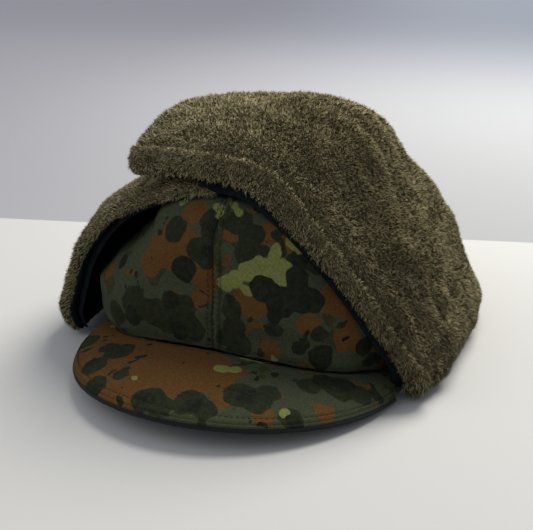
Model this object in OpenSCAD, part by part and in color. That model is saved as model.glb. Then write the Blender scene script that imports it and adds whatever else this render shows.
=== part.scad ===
// Winter trapper hat: a padded cloth crown with a stiff visor, and fur ear and neck flaps that fold
// down. The flaps are drawn folded up, with the left tip lying over the right tip on the crown.
// The origin is the centre of the head opening on the table; the visor points along -Y and the
// wearer's left is +X.

/* [Crown] */
// Half the crown's width at its widest
crown_half_width = 96; // [93:0.5:97]
// Half the crown's length at its widest
crown_half_length = 104; // [102:0.5:105]
// Height of the crown's top above the table
crown_height = 107; // [103:0.5:108]
// Height at which the crown is widest
crown_waist = 45; // [40:1:50]
// Height of the seam between the crown and the visor at the front
visor_seam_height = 25; // [22:1:27]
// Height of the crown's lower edge at the sides and the back
rim_height = 4.5; // [4.5:0.5:6]
// Thickness of the crown's outer cloth
cloth = 1.2; // [0.8:0.1:1.4]
// Thickness of the padding inside the crown
wadding = 3; // [2:0.5:3.5]
// Thickness of the lining
lining = 1; // [0.6:0.1:1.2]
// Height of the sweatband
sweatband_height = 32; // [26:1:36]

/* [Visor] */
// Half the visor's width
visor_half_width = 99; // [94:1:100]
// How far the visor's edge reaches in front of the crown
visor_reach = 62; // [54:1:64]
// Height of the visor's side corners above the table
visor_corner_height = 2; // [2:0.5:4]
// Rise of the visor's front edge at its middle
visor_arch = 10; // [8:1:12]

/* [Fur flaps] */
// Half the hat's width over the folded flaps
fur_half_width = 121; // [119:0.5:123]
// Length of the fur in front of its centre line, before the flaps' front edges cut it
fur_front_length = 165; // [158:1:168]
// Length of the fur behind its centre line
fur_back_length = 130; // [128:0.5:133]
// Height of the hat over the folded tips
hat_height = 151; // [150:0.5:154]
// Thickness of a flap's pile with its knitted ground
pile = 9; // [8:0.5:9.5]
// Thickness of a flap's interlining
interlining = 2; // [1.5:0.1:2.2]
// Thickness of a flap's cloth backing
backing = 1.5; // [1:0.1:1.6]
// How much wider the right flap stands off at the temple
right_flare = 11; // [6:1:16]
// Height at which an ear flap becomes its tip
shoulder_height = 98; // [96:1:100]

/* [Hidden] */

gap = 0.3;                // clearance between neighbouring layers
body_gap = 0.8;           // clearance between bodies that move apart
azimuth_step = 7.5;       // spacing of the crown's grid around the head
crown_plan = 2.9;         // superellipse exponent of the crown from above
crown_section = 5.8;      // superellipse exponent of the crown's height
crown_side_lean = 0.42;   // how far the crown's sides lean in towards the top
crown_back_lean = 0.2;    // the same for its back
crown_front_lean = 0.03;  // the same for its front
crown_tuck = 0.06;        // how far the crown's sides draw in below its waist
front_panel_end = 82.5;   // azimuth of the seam between front and back panels
top_panel_start = 0.5;    // share of the way from the waist to the pole where the top panel starts
visor_end = 60;           // azimuth at which the visor's seam ends
visor_wall = [1.2, 2, 1]; // top cover, stiffener and under cover
binding_width = 2.2;      // width of the visor's edge binding

fur_waist = 18;           // height at which the fur is widest
fur_centre = 5;           // Y of the fur's centre line
fur_plan = 2.6;           // superellipse exponent of the fur from above
fur_lean = 0.45;          // how far the fur leans in towards the top
fur_round = 9;            // higher values flatten the fur's top
fur_tuck = 0.05;          // how far the fur draws in below its waist
fold_height = 3;          // height of the flaps' fold lines
flap_foot = 3.4;          // height of the flaps' lower ends
flap_front = 76;          // distance of the flaps' front edges in front of the origin, at the rim
flap_front_gain = 19;     // how much further forward they come on top
flap_rear = 72;           // Y of the ear flaps' rear edges
neck_top = 92;            // height of the neck flap
tip_reach = 62;           // distance of the left tip's end past the centre plane
tip_spread = 200;         // half width that the left tip is drawn to past the centre plane
right_tip_shortfall = 7;  // distance by which the right tip stops short of the centre plane
tip_squash = 0.6;         // thickness of the right tip under the left one, as a share
fold_line = 101;          // distance of the ear flaps' fold lines from the centre plane

flap_stack = pile + interlining + backing + 2 * gap;
pile_depth = [0, pile];
interlining_depth = [pile + gap, pile + gap + interlining];
backing_depth = [interlining_depth[1] + gap, flap_stack];

function clamp01(v) = min(1, max(0, v));
function ease(v) = let (u = clamp01(v)) u * u * (3 - 2 * u);
function between(a, b, share) = a + (b - a) * share;

// Distance along a ray from start at which outside() turns positive, by bisection.
function reach(outside, start, direction, near = 0, far = 240, steps = 17) =
    steps == 0 ? (near + far) / 2
    : let (middle = (near + far) / 2)
      outside(start + middle * direction) > 0
          ? reach(outside, start, direction, near, middle, steps - 1)
          : reach(outside, start, direction, middle, far, steps - 1);
function hit(outside, start, direction) = start + reach(outside, start, direction) * direction;

// Crown surface at a depth under its outer cloth; positive outside it.
function crown_outside(p, depth) =
    let (
        s = (p.z - crown_waist) / (crown_height - crown_waist - depth),
        up = max(0, s),
        r = s >= 1 ? 0.001 : s > 0 ? pow(1 - pow(s, crown_section), 1 / crown_section) : 1,
        tuck = crown_tuck * pow(max(0, crown_waist - p.z) / crown_waist, 2),
        half_x = (crown_half_width - depth) * (1 - crown_side_lean * up - tuck),
        half_y = (crown_half_length - depth)
            * (1 - (p.y < 0 ? crown_front_lean : crown_back_lean) * up)
    )
    pow(abs(p.x) / half_x, crown_plan) + pow(abs(p.y) / half_y, crown_plan) - pow(r, crown_plan);

// Height of the crown's lower edge: arched over the visor, level at the sides and the back.
function edge_height(azimuth) =
    rim_height + (visor_seam_height - rim_height) * pow(max(0, cos(azimuth * 90 / 70)), 1.1)
    * (abs(azimuth) < 70 ? 1 : 0);

// Point of the crown at an azimuth from the front. level runs from -1 at the lower edge through
// 0 at the waist to 1 at the pole.
function crown_point(azimuth, level, depth) =
    let (f = function (p) crown_outside(p, depth))
    level < 0
        ? hit(f, [0, 0, crown_waist + level * (crown_waist - edge_height(azimuth))],
              [sin(azimuth), -cos(azimuth), 0])
        : hit(f, [0, 0, crown_waist],
              [sin(azimuth) * cos(90 * level), -cos(azimuth) * cos(90 * level), sin(90 * level)]);

// Fur surface at a depth under the outermost pile; positive outside it. side is +1 for the left
// flap, -1 for the right one, and 0 for the neck flap. The right flap dives under the left tip.
function fur_outside(p, depth, side) =
    let (
        height = (p.z - fur_waist) / (hat_height - fur_waist),
        under = side < 0 ? ease((height - 0.48) / 0.18) * (1 - ease((p.y - 25) / 35)) : 0,
        d = under == 0 ? depth
            : between(depth, flap_stack + body_gap + depth * tip_squash, under),
        s = (p.z - fur_waist) / (hat_height - fur_waist - d),
        r = s >= 1 ? 0.001 : s > 0 ? (1 - fur_lean * s) * sqrt(1 - pow(s, fur_round))
            : 1 - fur_tuck * pow((fur_waist - p.z) / fur_waist, 2),
        flare = p.x < 0 && side <= 0
            ? right_flare * (1 - ease((height + 0.02) / 0.55)) * (1 - ease((p.y + 40) / 110)) : 0,
        half_x = (p.x < 0 && side > 0 ? tip_spread : fur_half_width) - d + flare / r,
        half_y = (p.y < fur_centre ? fur_front_length : fur_back_length) - d
    )
    pow(abs(p.x) / half_x, fur_plan) + pow(abs(p.y - fur_centre) / half_y, fur_plan)
    - pow(r, fur_plan);

// A closed sheet between two grids of points. Each grid is a list of equally long rows.
module sheet(outer, inner) {
    rows = len(outer);
    n = len(outer[0]);
    size = rows * n;
    points = concat([for (row = outer) each row], [for (row = inner) each row]);
    skins = [for (i = [0:rows - 2], j = [0:n - 2])
        let (a = i * n + j, b = a + 1, c = a + n + 1, d = a + n)
        each [[a, c, b], [a, d, c], [size + a, size + b, size + c], [size + a, size + c, size + d]]];
    ring = concat(
        [for (j = [0:n - 1]) j], [for (i = [1:rows - 1]) i * n + n - 1],
        [for (j = [n - 2:-1:0]) (rows - 1) * n + j], [for (i = [rows - 2:-1:1]) i * n]);
    walls = [for (k = [0:len(ring) - 1])
        let (a = ring[k], b = ring[(k + 1) % len(ring)])
        each [[a, b, size + b], [a, size + b, size + a]]];
    polyhedron(points, concat(skins, walls));
}

// A closed shell between two grids whose rows are full rings. With a pole point on each, the last
// rings are closed over; without, the shell is open at both ends.
module ring_shell(outer, inner, outer_pole = undef, inner_pole = undef) {
    rows = len(outer);
    n = len(outer[0]);
    size = rows * n;
    capped = !is_undef(outer_pole);
    points = concat([for (row = outer) each row], [for (row = inner) each row],
                    capped ? [outer_pole, inner_pole] : []);
    skins = [for (i = [0:rows - 2], j = [0:n - 1])
        let (k = (j + 1) % n, a = i * n + j, b = i * n + k, c = b + n, d = a + n)
        each [[a, c, b], [a, d, c], [size + a, size + b, size + c], [size + a, size + c, size + d]]];
    foot = [for (j = [0:n - 1]) let (k = (j + 1) % n)
        each [[j, k, size + k], [j, size + k, size + j]]];
    last = (rows - 1) * n;
    top = [for (j = [0:n - 1]) let (k = (j + 1) % n, a = last + j, b = last + k)
        each capped
            ? [[a, 2 * size, b], [size + a, size + b, 2 * size + 1]]
            : [[a, size + b, b], [a, size + a, size + b]]];
    polyhedron(points, concat(skins, foot, top));
}

function steps_between(a, b, step) = let (n = max(1, round(abs(b - a) / step)))
    [for (i = [0:n]) between(a, b, i / n)];

// Crown layers ---------------------------------------------------------------------------------

panel_levels = [-1, -0.5, 0, 0.1, 0.2, 0.3, 0.4, top_panel_start];
upper_levels = [0.6, 0.7, 0.8, 0.9];
top_levels = concat([top_panel_start], upper_levels);
all_levels = concat(panel_levels, upper_levels);
seam_half = 0.12;         // half the gap between neighbouring crown panels, in degrees

module crown_panel(from, to) {
    azimuths = steps_between(from, to, azimuth_step);
    last = len(azimuths) - 1;
    pulled = [for (i = [0:last]) azimuths[i] + (i == 0 ? seam_half : i == last ? -seam_half : 0)];
    levels = [for (v = panel_levels) v == top_panel_start ? v - 0.003 : v];
    grid = function (depth) [for (v = levels) [for (a = pulled) crown_point(a, v, depth)]];
    sheet(grid(0), grid(cloth));
}

function crown_rings(levels, depth) =
    [for (v = levels) [for (a = [0:azimuth_step:360 - azimuth_step])
        crown_point(a > 180 ? a - 360 : a, v, depth)]];
function crown_pole(depth) = [0, 0, crown_height - depth];

module crown_shell(levels, depth, thickness) {
    ring_shell(crown_rings(levels, depth), crown_rings(levels, depth + thickness),
               crown_pole(depth), crown_pole(depth + thickness));
}

wadding_depth = cloth + gap;
lining_depth = wadding_depth + wadding + gap;
sweatband_depth = lining_depth + lining + gap;
sweatband_wall = 1.6;

module crown_panel_front_left() { color("#4d4a33") crown_panel(0, front_panel_end); }
module crown_panel_front_right() { color("#5a4431") crown_panel(-front_panel_end, 0); }
module crown_panel_back_left() { color("#4d4a33") crown_panel(front_panel_end, 180); }
module crown_panel_back_right() { color("#5a4431") crown_panel(-180, -front_panel_end); }
module crown_top_panel() { color("#4a4c38") crown_shell(top_levels, 0, cloth); }
module crown_wadding() { color("#d9d6cc") crown_shell(all_levels, wadding_depth, wadding); }
module crown_lining() { color("#23262a") crown_shell(all_levels, lining_depth, lining); }

// Felled seam standing on the front, beside the centre line.
module crown_front_seam_strip() {
    strip_width = 4.5;
    strip_height = 0.9;
    lift = 0.15;
    across = [for (x = [0.2, strip_width]) asin(x / crown_half_length)];
    foot_level = -0.6;        // clears the visor's inner edge as it flexes up
    levels = [for (v = panel_levels) max(v, foot_level)];
    grid = function (depth) [for (v = levels) [for (a = across) crown_point(a, v, depth)]];
    color("#4a4632") sheet(grid(-lift - strip_height), grid(-lift));
}

module sweatband() {
    top = rim_height + sweatband_height;
    f = function (depth) [for (share = [0, 0.5, 1]) [for (a = [0:azimuth_step:360 - azimuth_step])
        let (b = a > 180 ? a - 360 : a, z = between(max(edge_height(b), rim_height), top, share))
        hit(function (p) crown_outside(p, depth), [0, 0, z], [sin(b), -cos(b), 0])]];
    color("#3b3a34") ring_shell(f(sweatband_depth), f(sweatband_depth + sweatband_wall));
}

// Binding around the lower edge, from one end of the visor round the back to the other.
module rim_binding() {
    azimuths = steps_between(visor_end + 12, 360 - visor_end - 12, azimuth_step);
    at = function (a, z, depth)
        hit(function (p) crown_outside(p, depth), [0, 0, z], [sin(a), -cos(a), 0]);
    ring = function (depth) [for (z = [0, rim_height - gap]) [for (a = azimuths)
        let (p = at(a, rim_height, depth)) [p.x, p.y, z]]];
    color("#2b2d26") sheet(ring(-0.6), ring(sweatband_depth));
}

module size_label() {
    label_width = 34;
    label_height = 20;
    label_base = rim_height + sweatband_height + 6;
    f = function (depth) [for (z = [label_base, label_base + label_height])
        [for (x = steps_between(label_width / 2, -label_width / 2, 6))
            hit(function (p) crown_outside(p, depth), [x, 0, z], [0, 1, 0])]];
    color("#e8e6dd") sheet(f(lining_depth + lining + gap), f(lining_depth + lining + 2 * gap + 0.4));
}

// Cloth webs that join the rim to the flaps' fold lines.
module fold_web(points_in, points_out) {
    base = 1;
    top = 2.5;
    lift = function (row, z) [for (p = row) [p.x, p.y, z]];
    sheet([lift(points_in, top), lift(points_out, top)], [lift(points_in, base), lift(points_out, base)]);
}
function rim_at_y(y, side) =
    hit(function (p) crown_outside(p, -1.2), [0, y, rim_height], [side, 0, 0]);
web_setback = 6.5;        // keeps the webs clear of the flaps' feet as they fold down
module side_web(side) {
    ys = steps_between(-flap_front + 30, flap_rear - 4, 12);
    inner = [for (y = ys) rim_at_y(y, side)];
    outer = [for (y = ys) [side * (fold_line - web_setback), y, 0]];
    if (side > 0) fold_web(outer, inner); else fold_web(inner, outer);
}
module left_fold_web() { color("#3c3d2f") side_web(1); }
module right_fold_web() { color("#3c3d2f") side_web(-1); }
neck_fold_line = fur_centre + fur_back_length - flap_stack - 5;
module neck_fold_web() {
    xs = steps_between(-46, 46, 8);
    inner = [for (x = xs) hit(function (p) crown_outside(p, -1.2), [x, 0, rim_height], [0, 1, 0])];
    outer = [for (x = xs) [x, neck_fold_line - web_setback, 0]];
    color("#3c3d2f") fold_web(inner, outer);
}

// Visor ----------------------------------------------------------------------------------------

visor_clearance = 1.2;    // between the crown and the visor's inner edge
visor_corner_y = -60;     // Y at which the visor's outline would be widest
visor_outline_end = 79;   // how far round its outline the visor goes, in degrees from the front
visor_camber = 3;         // how much the visor bows up between its seam and its edge

// Point of the visor's upper face. share runs from 0 at the seam to 1 at the edge.
function visor_point(turn, share, trim = 0) =
    let (
        seam_azimuth = turn * visor_end,
        seam = hit(function (p) crown_outside(p, -visor_clearance),
            [0, 0, edge_height(seam_azimuth)], [sin(seam_azimuth), -cos(seam_azimuth), 0]),
        u = turn * visor_outline_end,
        half = visor_half_width - trim,
        x = half * sin(u),
        y = visor_corner_y - (crown_half_length + visor_reach + visor_corner_y - trim) * cos(u),
        thick = visor_wall[0] + visor_wall[1] + visor_wall[2] + 2 * gap,
        edge = [x, y, visor_corner_height + thick + visor_arch * (1 - pow(x / half, 2))]
    )
    between(seam, edge, share) + [0, 0, visor_camber * sin(180 * share)];

module visor_layer(depth, thickness, trim) {
    turns = steps_between(-1, 1, 0.1);
    shares = [0, 0.25, 0.5, 0.75, 1];
    face = function (drop) [for (v = shares) [for (t = turns)
        visor_point(t, v, trim) - [0, 0, drop]]];
    sheet(face(depth + thickness), face(depth));
}
module visor_top_cover() { color("#5b4530") visor_layer(0, visor_wall[0], binding_width + gap); }
module visor_stiffener() {
    color("#8a8d8a") visor_layer(visor_wall[0] + gap, visor_wall[1], binding_width + gap);
}
module visor_under_cover() {
    color("#20221f")
    visor_layer(visor_wall[0] + visor_wall[1] + 2 * gap, visor_wall[2], binding_width + gap);
}
module visor_edge_binding() {
    turns = steps_between(-1, 1, 0.05);
    height = visor_wall[0] + visor_wall[1] + visor_wall[2] + 2 * gap;
    wall = function (trim) [for (drop = [0, height]) [for (t = turns)
        visor_point(t, 1, trim) - [0, 0, drop]]];
    color("#1b1d1a") sheet(wall(binding_width), wall(0));
}

// Flaps ----------------------------------------------------------------------------------------

// Y of an ear flap's front edge at a height, further forward towards the top.
function front_edge(z, side) =
    -flap_front - (side > 0 ? flap_front_gain : flap_front_gain - 9)
    * sin(90 * clamp01((z - flap_foot) / (shoulder_height - flap_foot)));

module flap_layer(side, depths) {
    heights = steps_between(flap_foot, shoulder_height, 10.5);
    grid = function (depth) [for (z = heights)
        [for (y = steps_between(front_edge(z, side), flap_rear, 15))
            hit(function (p) fur_outside(p, depth, side), [0, y, z], [side, 0, 0])]];
    columns = 10;
    even = function (rows) [for (row = rows) [for (i = [0:columns]) row_at(row, i / columns)]];
    if (side > 0) sheet(even(grid(depths[0])), even(grid(depths[1])));
    else sheet(even(grid(depths[1])), even(grid(depths[0])));
}
// Point at a share of the way along a row of points.
function row_at(row, share) =
    let (at = share * (len(row) - 1), i = min(floor(at), len(row) - 2))
    between(row[i], row[i + 1], at - i);

// Y of a tip's rear edge, drawing in from the shoulder to the tip's end.
function tip_rear(share) = between(44, -8, pow(share, 0.8));

// A tip rises from its shoulder in rows that fan out about the shoulder line, and then runs
// across the crown in rows at even spacing.
module tip_layer(side, depths) {
    base = shoulder_height + body_gap;
    run = side > 0 ? tip_reach : -right_tip_shortfall;
    fan = [for (i = [0:7]) 10 * i];
    flat_start = 10;
    flats = steps_between(flat_start, -run, 11);
    count = len(fan) + len(flats);
    fan_spread = [0.85, 0.5];
    grid = function (depth) [for (i = [0:count - 1])
        let (
            share = i / (count - 1) * (side > 0 ? 1 : 0.55),
            front = front_edge(shoulder_height, side) + (side > 0 ? 10 : 8) * share,
            fanned = i < len(fan),
            x = fanned ? 0 : side * flats[i - len(fan)],
            direction = fanned
                ? [side * cos(fan[i]) * fan_spread[0], 0, sin(fan[i]) * fan_spread[1]] : [0, 0, 1]
        )
        [for (j = [0:8]) let (y = between(front, tip_rear(share), j / 8))
            hit(function (p) fur_outside(p, depth, side), [x, y, base], direction)]];
    if (side > 0) sheet(grid(depths[0]), grid(depths[1]));
    else sheet(grid(depths[1]), grid(depths[0]));
}

fur_colour = "#5f5946";
backing_colour = "#20272a";
module left_flap_fur() { color(fur_colour) flap_layer(1, pile_depth); }
module left_flap_interlining() { color("#c9c5b8") flap_layer(1, interlining_depth); }
module left_flap_backing() { color(backing_colour) flap_layer(1, backing_depth); }
module left_tip_fur() { color(fur_colour) tip_layer(1, pile_depth); }
module left_tip_interlining() { color("#c9c5b8") tip_layer(1, interlining_depth); }
module left_tip_backing() { color(backing_colour) tip_layer(1, backing_depth); }
module right_flap_fur() { color(fur_colour) flap_layer(-1, pile_depth); }
module right_flap_interlining() { color("#c9c5b8") flap_layer(-1, interlining_depth); }
module right_flap_backing() { color(backing_colour) flap_layer(-1, backing_depth); }
module right_tip_fur() { color(fur_colour) tip_layer(-1, pile_depth); }
module right_tip_interlining() { color("#c9c5b8") tip_layer(-1, interlining_depth); }
module right_tip_backing() { color(backing_colour) tip_layer(-1, backing_depth); }

module neck_layer(depths) {
    heights = steps_between(flap_foot, neck_top, 11);
    start = [0, fur_centre, 0];
    y_end = flap_rear + body_gap;
    grid = function (depth) [for (z = heights)
        let (
            f = function (p) fur_outside(p, depth, 0),
            left_end = hit(f, [0, y_end, z], [1, 0, 0]),
            right_end = hit(f, [0, y_end, z], [-1, 0, 0]),
            from = atan2(left_end.x, y_end - fur_centre),
            to = atan2(right_end.x, y_end - fur_centre)
        )
        [for (i = [0:16]) let (b = between(from, to, i / 16))
            hit(f, start + [0, 0, z], [sin(b), cos(b), 0])]];
    sheet(grid(depths[0]), grid(depths[1]));
}
module neck_flap_fur() { color(fur_colour) neck_layer(pile_depth); }
module neck_flap_interlining() { color("#c9c5b8") neck_layer(interlining_depth); }
module neck_flap_backing() { color(backing_colour) neck_layer(backing_depth); }

// Hook and loop closure between the tips. Each patch is a sheet on one tip's surface.
patch_wall = 1.1;
patch_x = [-56, -34];
patch_y = [-66, -30];
module closure_patch(side, depth) {
    grid = function (d) [for (x = steps_between(patch_x[1], patch_x[0], 8))
        [for (y = steps_between(patch_y[0], patch_y[1], 9))
            hit(function (p) fur_outside(p, d, side), [x, y, shoulder_height], [0, 0, 1])]];
    sheet(grid(depth), grid(depth + patch_wall));
}
module closure_hook_patch() { color("#15171a") closure_patch(1, flap_stack + 2 * gap); }
module closure_loop_patch() { color("#2f332c") closure_patch(-1, -patch_wall - 2 * gap); }

crown_panel_front_left();
crown_panel_front_right();
crown_panel_back_left();
crown_panel_back_right();
crown_top_panel();
crown_front_seam_strip();
crown_wadding();
crown_lining();
sweatband();
rim_binding();
size_label();
left_fold_web();
right_fold_web();
neck_fold_web();
visor_top_cover();
visor_stiffener();
visor_under_cover();
visor_edge_binding();
left_flap_fur();
left_flap_interlining();
left_flap_backing();
left_tip_fur();
left_tip_interlining();
left_tip_backing();
closure_hook_patch();
right_flap_fur();
right_flap_interlining();
right_flap_backing();
right_tip_fur();
right_tip_interlining();
right_tip_backing();
closure_loop_patch();
neck_flap_fur();
neck_flap_interlining();
neck_flap_backing();
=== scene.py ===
import math

import bpy
import numpy as np
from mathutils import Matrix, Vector


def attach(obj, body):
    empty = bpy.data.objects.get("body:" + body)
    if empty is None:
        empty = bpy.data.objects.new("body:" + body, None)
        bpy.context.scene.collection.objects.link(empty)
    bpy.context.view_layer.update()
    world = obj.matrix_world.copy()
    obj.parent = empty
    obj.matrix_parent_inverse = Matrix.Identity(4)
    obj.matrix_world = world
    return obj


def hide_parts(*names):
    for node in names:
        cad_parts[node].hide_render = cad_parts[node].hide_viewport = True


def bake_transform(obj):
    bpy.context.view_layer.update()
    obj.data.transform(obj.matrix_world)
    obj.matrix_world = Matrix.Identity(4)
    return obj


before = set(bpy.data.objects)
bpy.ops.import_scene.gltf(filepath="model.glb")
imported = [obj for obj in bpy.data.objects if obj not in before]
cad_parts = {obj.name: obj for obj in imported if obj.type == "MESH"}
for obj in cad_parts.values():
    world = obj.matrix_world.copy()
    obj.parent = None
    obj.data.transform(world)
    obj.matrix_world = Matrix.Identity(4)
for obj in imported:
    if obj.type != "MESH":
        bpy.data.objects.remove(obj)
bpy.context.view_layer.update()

# Shape of the hat, in millimetres, in the part's own frame: front -Y, wearer's left +X.
MM = 0.001
CROWN_HALF_WIDTH, CROWN_HALF_LENGTH = 96.0, 104.0
CROWN_HEIGHT, CROWN_WAIST = 107.0, 45.0
CROWN_PLAN, CROWN_SECTION = 2.9, 5.8
CROWN_SIDE_LEAN, CROWN_BACK_LEAN, CROWN_FRONT_LEAN = 0.42, 0.2, 0.03
CROWN_TUCK = 0.06
SIDE_SEAM = 82.5                     # azimuth of the seam between a front and a back panel
CLOTH = 1.2
LINING_DEPTH, LINING = 4.8, 1.0
SWEATBAND_DEPTH, SWEATBAND_WALL, SWEATBAND_TOP = 6.1, 1.2, 36.5
VISOR_SEAM_HEIGHT, RIM_HEIGHT = 25.0, 4.5
VISOR_HALF_WIDTH, VISOR_REACH, VISOR_END = 99.0, 62.0, 60.0
VISOR_ARCH, VISOR_CORNER_HEIGHT, VISOR_CORNER_Y = 10.0, 2.0, -60.0
VISOR_OUTLINE_END, VISOR_CAMBER, VISOR_CLEARANCE = 79.0, 3.0, 1.2
VISOR_THICK = 4.8
FUR_HALF_WIDTH, FUR_FRONT, FUR_BACK = 121.0, 165.0, 130.0
FUR_HEIGHT, FUR_WAIST, FUR_CENTRE = 151.0, 18.0, 5.0
FUR_PLAN, FUR_LEAN, FUR_ROUND, FUR_TUCK = 2.6, 0.45, 9.0, 0.05
TIP_SPREAD, TIP_SQUASH, RIGHT_FLARE = 200.0, 0.6, 11.0
STACK, BODY_GAP = 13.1, 0.8
FOOT, SHOULDER, NECK_TOP = 3.4, 98.0, 92.0
FLAP_FRONT, FLAP_FRONT_GAIN, FLAP_REAR = 76.0, 19.0, 72.0
TIP_REACH, RIGHT_TIP_SHORTFALL = 62.0, 7.0

# How far surfaces here stray from the CAD's, in mm, to follow the photograph's outline: the crown
# out and in on the wearer's right, the right flap out and the left flap in.
CROWN_SLUMP = (8.0, 10.0)
RIGHT_BULGE, LEFT_DRAW = 15.0, 10.5

# Camera, in millimetres: it looks at TARGET from AZIMUTH degrees left of the front.
AZIMUTH, ELEVATION, DISTANCE = 24.0, 20.0, 560.0
TARGET = np.array([-5.36, -20.0, 45.0])
FOCAL_LENGTH, SENSOR = 60.8, 36.0


# Numbers and surfaces ---------------------------------------------------------------------------

def ease(value):
    u = np.clip(value, 0.0, 1.0)
    return u * u * (3 - 2 * u)


def unit(v):
    return v / np.maximum(np.linalg.norm(v, axis=-1, keepdims=True), 1e-12)


def ripple(p, wavelength, seed):
    """Smooth noise from about -1 to 1 over points in mm: a sum of waves in random directions."""
    random = np.random.default_rng(seed)
    total = np.zeros(p.shape[:-1])
    for _ in range(7):
        direction = unit(random.normal(size=3)) * (2 * np.pi / wavelength)
        total = total + np.sin(p @ (direction * random.uniform(0.6, 1.5)) + random.uniform(0, 6.28))
    return total / 3.2


def hit(outside, start, direction, reach=240.0):
    """Where rays leave a surface. outside(points) is positive beyond it."""
    start, direction = np.broadcast_arrays(np.asarray(start, float), np.asarray(direction, float))
    near = np.zeros(start.shape[:-1])
    far = np.full(start.shape[:-1], reach)
    for _ in range(26):
        middle = (near + far) / 2
        beyond = outside(start + middle[..., None] * direction) > 0
        far = np.where(beyond, middle, far)
        near = np.where(beyond, near, middle)
    return start + middle[..., None] * direction


def crown_outside(p, depth):
    x, y, z = p[..., 0], p[..., 1], p[..., 2]
    s = (z - CROWN_WAIST) / (CROWN_HEIGHT - CROWN_WAIST - depth)
    up = np.clip(s, 0, 1)
    round_off = np.where(s >= 1, 0.001, (1 - up ** CROWN_SECTION) ** (1 / CROWN_SECTION))
    tuck = CROWN_TUCK * (np.maximum(0, CROWN_WAIST - z) / CROWN_WAIST) ** 2
    half_x = (CROWN_HALF_WIDTH - depth) * (1 - CROWN_SIDE_LEAN * up - tuck)
    lean = np.where(y < 0, CROWN_FRONT_LEAN, CROWN_BACK_LEAN)
    half_y = (CROWN_HALF_LENGTH - depth) * (1 - lean * up)
    across = (np.abs(x) / half_x) ** CROWN_PLAN
    along = (np.abs(y) / half_y) ** CROWN_PLAN
    return across + along - round_off ** CROWN_PLAN


def edge_height(azimuth):
    """Height of the crown's lower edge: it arches up over the visor."""
    a = np.where(azimuth > 180, azimuth - 360, azimuth)
    arch = np.where(np.abs(a) < 70, np.maximum(0, np.cos(np.radians(a * 90 / 70))), 0) ** 1.1
    return RIM_HEIGHT + (VISOR_SEAM_HEIGHT - RIM_HEIGHT) * arch


def crown_point(azimuth, level, depth=0.0):
    """Point of the crown. level is -1 at the lower edge, 0 at the waist and 1 at the top."""
    azimuth, level = np.broadcast_arrays(np.asarray(azimuth, float), np.asarray(level, float))
    a = np.radians(azimuth)
    low = level < 0
    z = np.where(low, CROWN_WAIST + level * (CROWN_WAIST - edge_height(azimuth)), CROWN_WAIST)
    e = np.radians(90 * np.where(low, 0, level))
    start = np.stack([0 * z, 0 * z, z], -1)
    ray = np.stack([np.sin(a) * np.cos(e), -np.cos(a) * np.cos(e), np.sin(e)], -1)
    return sloped(hit(lambda p: crown_outside(p, depth), start, ray))


def sloped(p):
    """The front of the crown slumps on the wearer's right: in at the shoulder, out below it."""
    turn = np.degrees(np.arctan2(-p[..., 0], -p[..., 1]))
    side = ease((turn - 12) / 40) * (1 - ease((turn - 78) / 30))
    z = p[..., 2]
    low = ease((z - 8) / 18) * (1 - ease((z - 38) / 34))
    high = ease((z - 60) / 24) * (1 - ease((z - 96) / 10))
    outward = unit(p * [1, 1, 0])
    return p + outward * (side * (CROWN_SLUMP[0] * low - CROWN_SLUMP[1] * high))[..., None]


def crown_at(azimuth, z, depth):
    """Point of the crown at an azimuth and a height."""
    azimuth, z = np.broadcast_arrays(np.asarray(azimuth, float), np.asarray(z, float))
    a = np.radians(azimuth)
    ray = np.stack([np.sin(a), -np.cos(a), 0 * a], -1)
    return hit(lambda p: crown_outside(p, depth), np.stack([0 * a, 0 * a, z], -1), ray)


def fur_outside(p, depth, side):
    """The fur's outer surface: side is 1 for the left flap, -1 the right and 0 the neck."""
    x, y, z = p[..., 0], p[..., 1], p[..., 2]
    height = (z - FUR_WAIST) / (FUR_HEIGHT - FUR_WAIST)
    d = depth + 0 * z
    if side < 0:
        under = ease((height - 0.48) / 0.18) * (1 - ease((y - 25) / 35))
        d = d + (STACK + BODY_GAP + depth * (TIP_SQUASH - 1)) * under
    s = (z - FUR_WAIST) / (FUR_HEIGHT - FUR_WAIST - d)
    up = np.clip(s, 0, 1)
    radius = np.where(s >= 1, 0.001, (1 - FUR_LEAN * up) * np.sqrt(1 - up ** FUR_ROUND))
    radius = np.where(s > 0, radius, 1 - FUR_TUCK * ((FUR_WAIST - z) / FUR_WAIST) ** 2)
    radius = np.maximum(radius, 0.001)
    half_x = np.where((x < 0) & (side > 0), TIP_SPREAD, FUR_HALF_WIDTH) - d
    if side <= 0:
        flare = (1 - ease((height + 0.02) / 0.55)) * (1 - ease((y + 40) / 110))
        half_x = half_x + (x < 0) * RIGHT_FLARE * flare / radius
    if side < 0:
        bulge = np.exp(-((z - 68) / 34) ** 2) * (1 - ease((y + 10) / 60))
        half_x = half_x + (x < 0) * RIGHT_BULGE * bulge / radius
    drawn = LEFT_DRAW * np.exp(-((z - 108) / 28) ** 2) * (1 - ease((y - 60) / 70))
    half_x = half_x - (x > 0) * drawn / np.maximum(radius, 0.5)
    half_y = np.where(y < FUR_CENTRE, FUR_FRONT, FUR_BACK) - d
    across = (np.abs(x) / half_x) ** FUR_PLAN
    along = (np.abs(y - FUR_CENTRE) / half_y) ** FUR_PLAN
    return across + along - radius ** FUR_PLAN


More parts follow.
